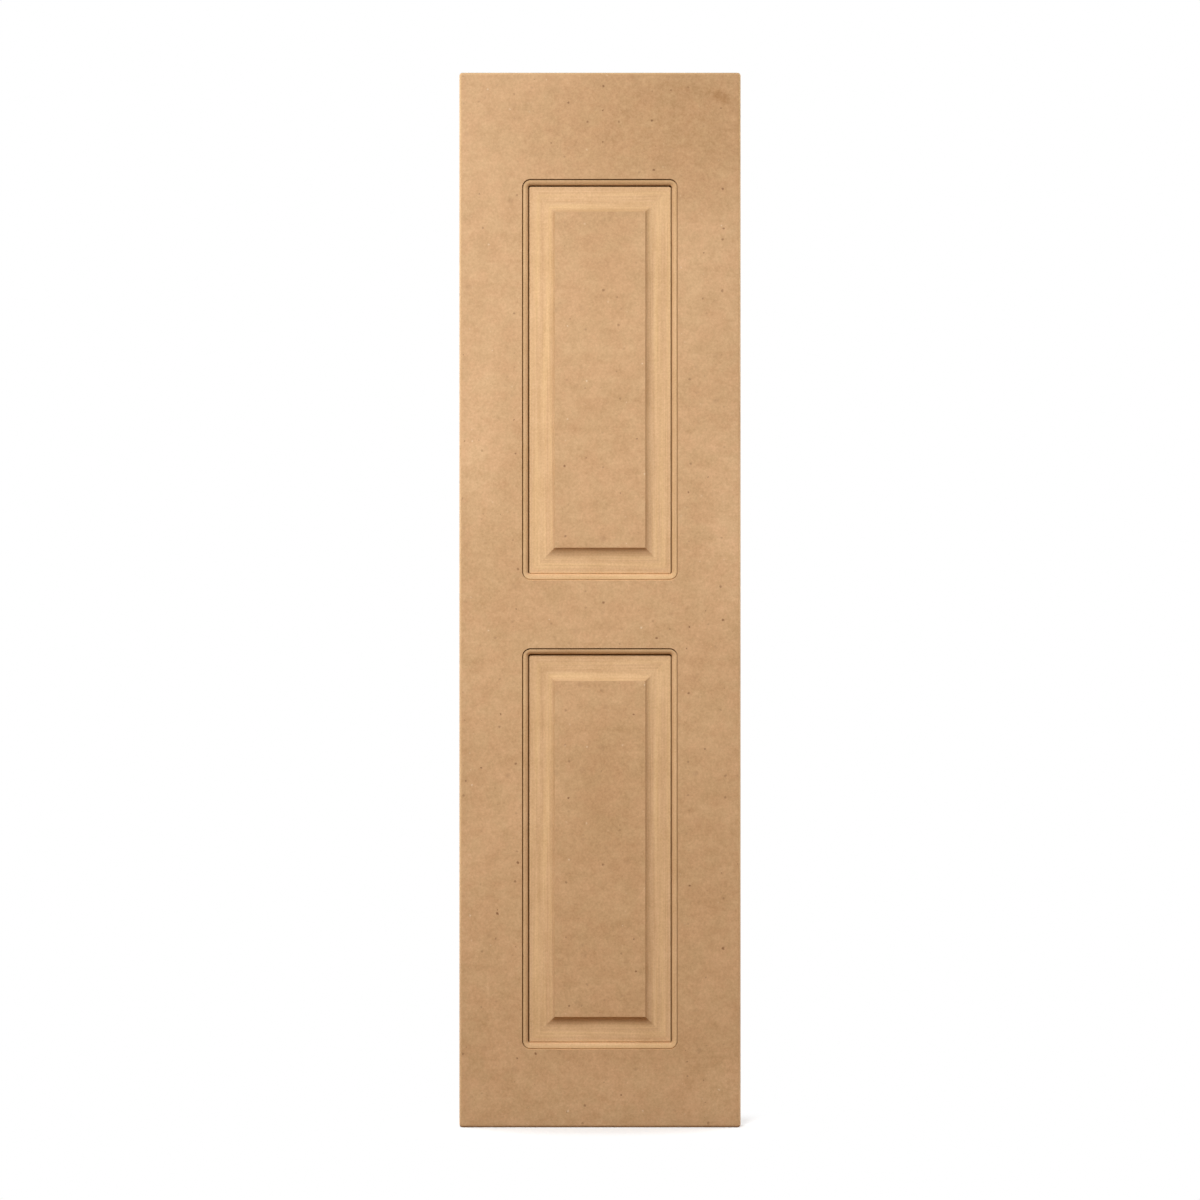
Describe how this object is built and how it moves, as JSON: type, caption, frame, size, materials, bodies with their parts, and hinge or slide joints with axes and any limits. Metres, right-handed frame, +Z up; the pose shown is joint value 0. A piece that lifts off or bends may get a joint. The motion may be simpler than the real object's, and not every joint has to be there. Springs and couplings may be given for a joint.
{
  "type": "raised panel shutter",
  "caption": "Tall flat-backed shutter leaf routed from one board, with coved raised panels one above the other inside beaded recesses.",
  "frame": {"origin": "middle of the flat back, on the back face", "axes": "+Z up along the leaf, +Y out of the back into the wall, +X to the right as seen from the front"},
  "size_m": [0.4064, 0.0254, 1.524],
  "materials": {
    "raw_fibreboard": "raw pressed wood-fibre board, unpainted: tan, finely mottled face and slightly lighter routed mouldings, matt to faintly satin"
  },
  "bodies": {
    "root": {"shutter_leaf": "raw_fibreboard"}
  },
  "joints": []
}
